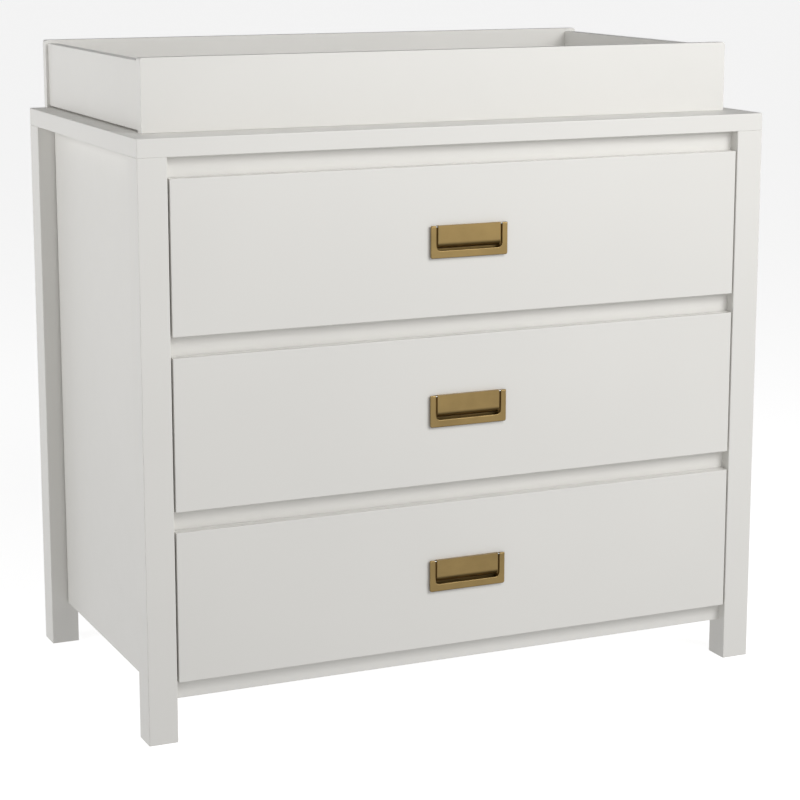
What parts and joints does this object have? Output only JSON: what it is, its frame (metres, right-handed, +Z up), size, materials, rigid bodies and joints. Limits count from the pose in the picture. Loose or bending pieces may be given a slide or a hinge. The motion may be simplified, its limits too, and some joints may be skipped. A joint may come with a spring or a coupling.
{
  "type": "changing table",
  "caption": "Dresser-style changing table on square legs, with drawers on roller slides, hinged drop pulls and a fixed open tray on top for a changing pad.",
  "frame": {"origin": "on the floor, in the middle of the overall footprint from the pulls to the tray's rear board", "axes": "+X to the right seen from the front, along the width; +Y to the back; +Z up"},
  "size_m": [0.94, 0.5404, 0.9135],
  "materials": {
    "lacquered_wood": "satin off-white lacquer on smooth board",
    "white_hardboard": "smooth painted hardboard",
    "beech_dowel": "plain beech",
    "slide_steel": "cream epoxy powder coat",
    "zinc_fittings": "zinc plated",
    "brass_pull": "satin brushed brass",
    "roller_plastic": "matte nylon"
  },
  "bodies": {
    "cabinet": {"top_panel": "lacquered_wood", "left_side_panel": "lacquered_wood", "right_side_panel": "lacquered_wood", "front_left_leg": "lacquered_wood", "front_right_leg": "lacquered_wood", "rear_left_leg": "lacquered_wood", "rear_right_leg": "lacquered_wood", "top_front_rail": "lacquered_wood", "upper_middle_rail": "lacquered_wood", "lower_middle_rail": "lacquered_wood", "bottom_front_rail": "lacquered_wood", "rear_top_rail": "lacquered_wood", "rear_bottom_rail": "lacquered_wood", "back_panel": "white_hardboard", "left_slide_channels": "slide_steel", "right_slide_channels": "slide_steel", "cam_locks": "zinc_fittings", "cam_bolts": "zinc_fittings", "cabinet_screws": "zinc_fittings", "tray_front_board": "lacquered_wood", "tray_back_board": "lacquered_wood", "tray_left_board": "lacquered_wood", "tray_right_board": "lacquered_wood", "tray_dowels": "beech_dowel"},
    "drawer_1": {"drawer_1_front": "lacquered_wood", "drawer_1_left_side": "lacquered_wood", "drawer_1_right_side": "lacquered_wood", "drawer_1_back": "lacquered_wood", "drawer_1_bottom": "white_hardboard", "drawer_1_runners": "slide_steel", "drawer_1_fixings": "zinc_fittings", "drawer_1_pull_plate": "brass_pull", "drawer_1_pull_pins": "zinc_fittings"},
    "drawer_1_bail": {"drawer_1_pull_bail": "brass_pull"},
    "drawer_1_rear_rollers": {"drawer_1_rear_rollers": "roller_plastic"},
    "drawer_1_front_rollers": {"drawer_1_front_rollers": "roller_plastic"},
    "drawer_2": {"drawer_2_front": "lacquered_wood", "drawer_2_left_side": "lacquered_wood", "drawer_2_right_side": "lacquered_wood", "drawer_2_back": "lacquered_wood", "drawer_2_bottom": "white_hardboard", "drawer_2_runners": "slide_steel", "drawer_2_fixings": "zinc_fittings", "drawer_2_pull_plate": "brass_pull", "drawer_2_pull_pins": "zinc_fittings"},
    "drawer_2_bail": {"drawer_2_pull_bail": "brass_pull"},
    "drawer_2_rear_rollers": {"drawer_2_rear_rollers": "roller_plastic"},
    "drawer_2_front_rollers": {"drawer_2_front_rollers": "roller_plastic"},
    "drawer_3": {"drawer_3_front": "lacquered_wood", "drawer_3_left_side": "lacquered_wood", "drawer_3_right_side": "lacquered_wood", "drawer_3_back": "lacquered_wood", "drawer_3_bottom": "white_hardboard", "drawer_3_runners": "slide_steel", "drawer_3_fixings": "zinc_fittings", "drawer_3_pull_plate": "brass_pull", "drawer_3_pull_pins": "zinc_fittings"},
    "drawer_3_bail": {"drawer_3_pull_bail": "brass_pull"},
    "drawer_3_rear_rollers": {"drawer_3_rear_rollers": "roller_plastic"},
    "drawer_3_front_rollers": {"drawer_3_front_rollers": "roller_plastic"}
  },
  "joints": [
    {"name": "drawer_1_slide", "type": "slide", "parent": "cabinet", "child": "drawer_1", "axis": [0, -1, 0], "range_m": [0, 0.33]},
    {"name": "drawer_1_bail_swing", "type": "hinge", "parent": "drawer_1", "child": "drawer_1_bail", "pos_m": [0, -0.2674, 0.67915], "axis": [-1, 0, 0], "range_deg": [0, 90]},
    {"name": "drawer_1_rear_roller_spin", "type": "hinge", "parent": "drawer_1", "child": "drawer_1_rear_rollers", "pos_m": [0, 0.177, 0.5768], "axis": [1, 0, 0], "continuous": true},
    {"name": "drawer_1_front_roller_spin", "type": "hinge", "parent": "cabinet", "child": "drawer_1_front_rollers", "pos_m": [0, -0.232, 0.5768], "axis": [1, 0, 0], "continuous": true},
    {"name": "drawer_2_slide", "type": "slide", "parent": "cabinet", "child": "drawer_2", "axis": [0, -1, 0], "range_m": [0, 0.33]},
    {"name": "drawer_2_bail_swing", "type": "hinge", "parent": "drawer_2", "child": "drawer_2_bail", "pos_m": [0, -0.2674, 0.44365], "axis": [-1, 0, 0], "range_deg": [0, 90]},
    {"name": "drawer_2_rear_roller_spin", "type": "hinge", "parent": "drawer_2", "child": "drawer_2_rear_rollers", "pos_m": [0, 0.177, 0.3413], "axis": [1, 0, 0], "continuous": true},
    {"name": "drawer_2_front_roller_spin", "type": "hinge", "parent": "cabinet", "child": "drawer_2_front_rollers", "pos_m": [0, -0.232, 0.3413], "axis": [1, 0, 0], "continuous": true},
    {"name": "drawer_3_slide", "type": "slide", "parent": "cabinet", "child": "drawer_3", "axis": [0, -1, 0], "range_m": [0, 0.33]},
    {"name": "drawer_3_bail_swing", "type": "hinge", "parent": "drawer_3", "child": "drawer_3_bail", "pos_m": [0, -0.2674, 0.20815], "axis": [-1, 0, 0], "range_deg": [0, 90]},
    {"name": "drawer_3_rear_roller_spin", "type": "hinge", "parent": "drawer_3", "child": "drawer_3_rear_rollers", "pos_m": [0, 0.177, 0.1058], "axis": [1, 0, 0], "continuous": true},
    {"name": "drawer_3_front_roller_spin", "type": "hinge", "parent": "cabinet", "child": "drawer_3_front_rollers", "pos_m": [0, -0.232, 0.1058], "axis": [1, 0, 0], "continuous": true}
  ],
  "couplings": [
    {"joint": "drawer_1_rear_roller_spin", "follows": "drawer_1_slide", "rad_per_m": 100},
    {"joint": "drawer_1_front_roller_spin", "follows": "drawer_1_slide", "rad_per_m": 100},
    {"joint": "drawer_2_rear_roller_spin", "follows": "drawer_2_slide", "rad_per_m": 100},
    {"joint": "drawer_2_front_roller_spin", "follows": "drawer_2_slide", "rad_per_m": 100},
    {"joint": "drawer_3_rear_roller_spin", "follows": "drawer_3_slide", "rad_per_m": 100},
    {"joint": "drawer_3_front_roller_spin", "follows": "drawer_3_slide", "rad_per_m": 100}
  ]
}
